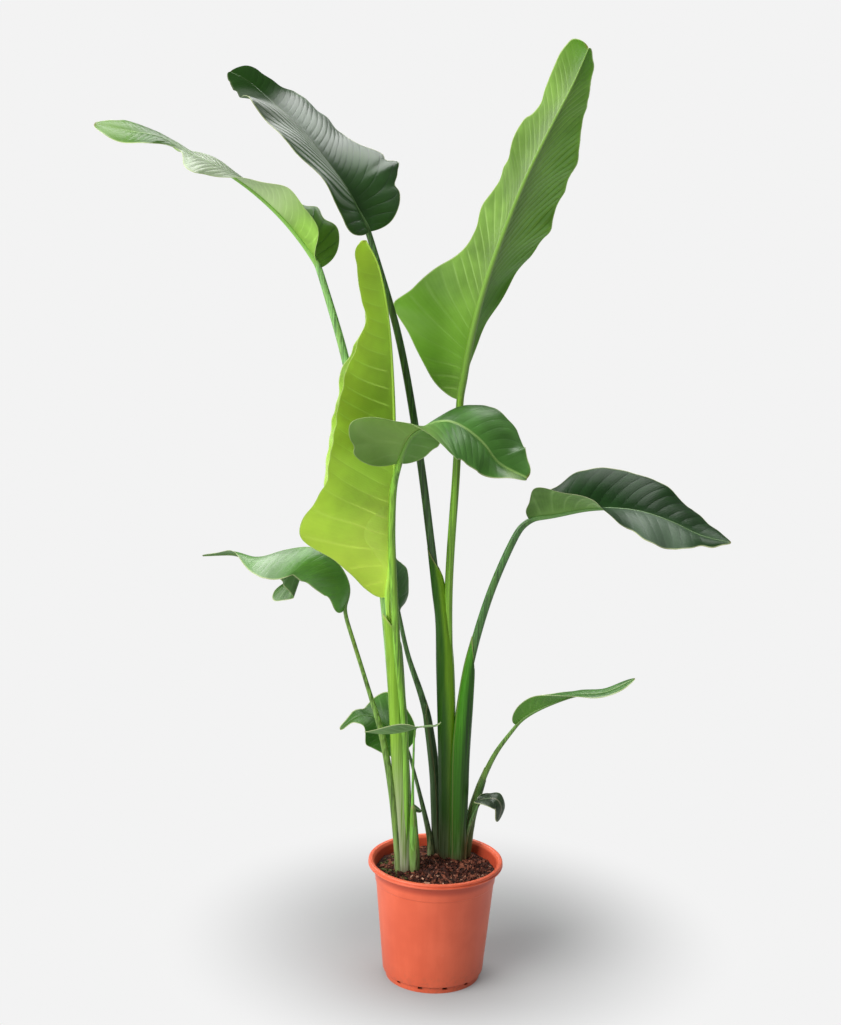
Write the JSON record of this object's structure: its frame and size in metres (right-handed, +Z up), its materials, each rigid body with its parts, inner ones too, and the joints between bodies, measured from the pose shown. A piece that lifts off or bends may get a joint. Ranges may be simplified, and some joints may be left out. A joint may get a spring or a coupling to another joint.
{
  "type": "potted bird of paradise plant",
  "caption": "Tall bird of paradise house plant with upright paddle-shaped leaves on long stalks, growing from soil in a round tapered nursery pot with a rolled rim.",
  "frame": {"origin": "centre of the pot's flat underside, at the level of the floor", "axes": "+Z up along the pot's axis, +X to the plant's right seen from its front, -Y towards its front"},
  "size_m": [1.0799, 0.3876, 1.6361],
  "materials": {
    "pot_plastic": "satin, moulded",
    "potting_mix": "coarse dark bark mix",
    "stalk": "smooth waxy green",
    "leaf_blade": "glossy ribbed green"
  },
  "bodies": {
    "root": {"far_left_leaf_stalk": "stalk", "far_left_leaf_blade": "leaf_blade", "dark_top_leaf_stalk": "stalk", "dark_top_leaf_blade": "leaf_blade", "tall_right_leaf_stalk": "stalk", "tall_right_leaf_blade": "leaf_blade", "folded_middle_leaf_stalk": "stalk", "folded_middle_leaf_blade": "leaf_blade", "twisted_middle_leaf_stalk": "stalk", "twisted_middle_leaf_blade": "leaf_blade", "left_side_leaf_stalk": "stalk", "left_side_leaf_blade": "leaf_blade", "right_side_leaf_stalk": "stalk", "right_side_leaf_blade": "leaf_blade", "hidden_back_leaf_stalk": "stalk", "hidden_back_leaf_blade": "leaf_blade", "low_right_leaf_stalk": "stalk", "low_right_leaf_blade": "leaf_blade", "curled_right_leaf_stalk": "stalk", "curled_right_leaf_blade": "leaf_blade", "young_back_leaf_stalk": "stalk", "young_back_leaf_blade": "leaf_blade", "young_front_leaf_stalk": "stalk", "young_front_leaf_blade": "leaf_blade", "small_bract": "leaf_blade", "soil": "potting_mix", "pot": "pot_plastic"}
  },
  "joints": []
}
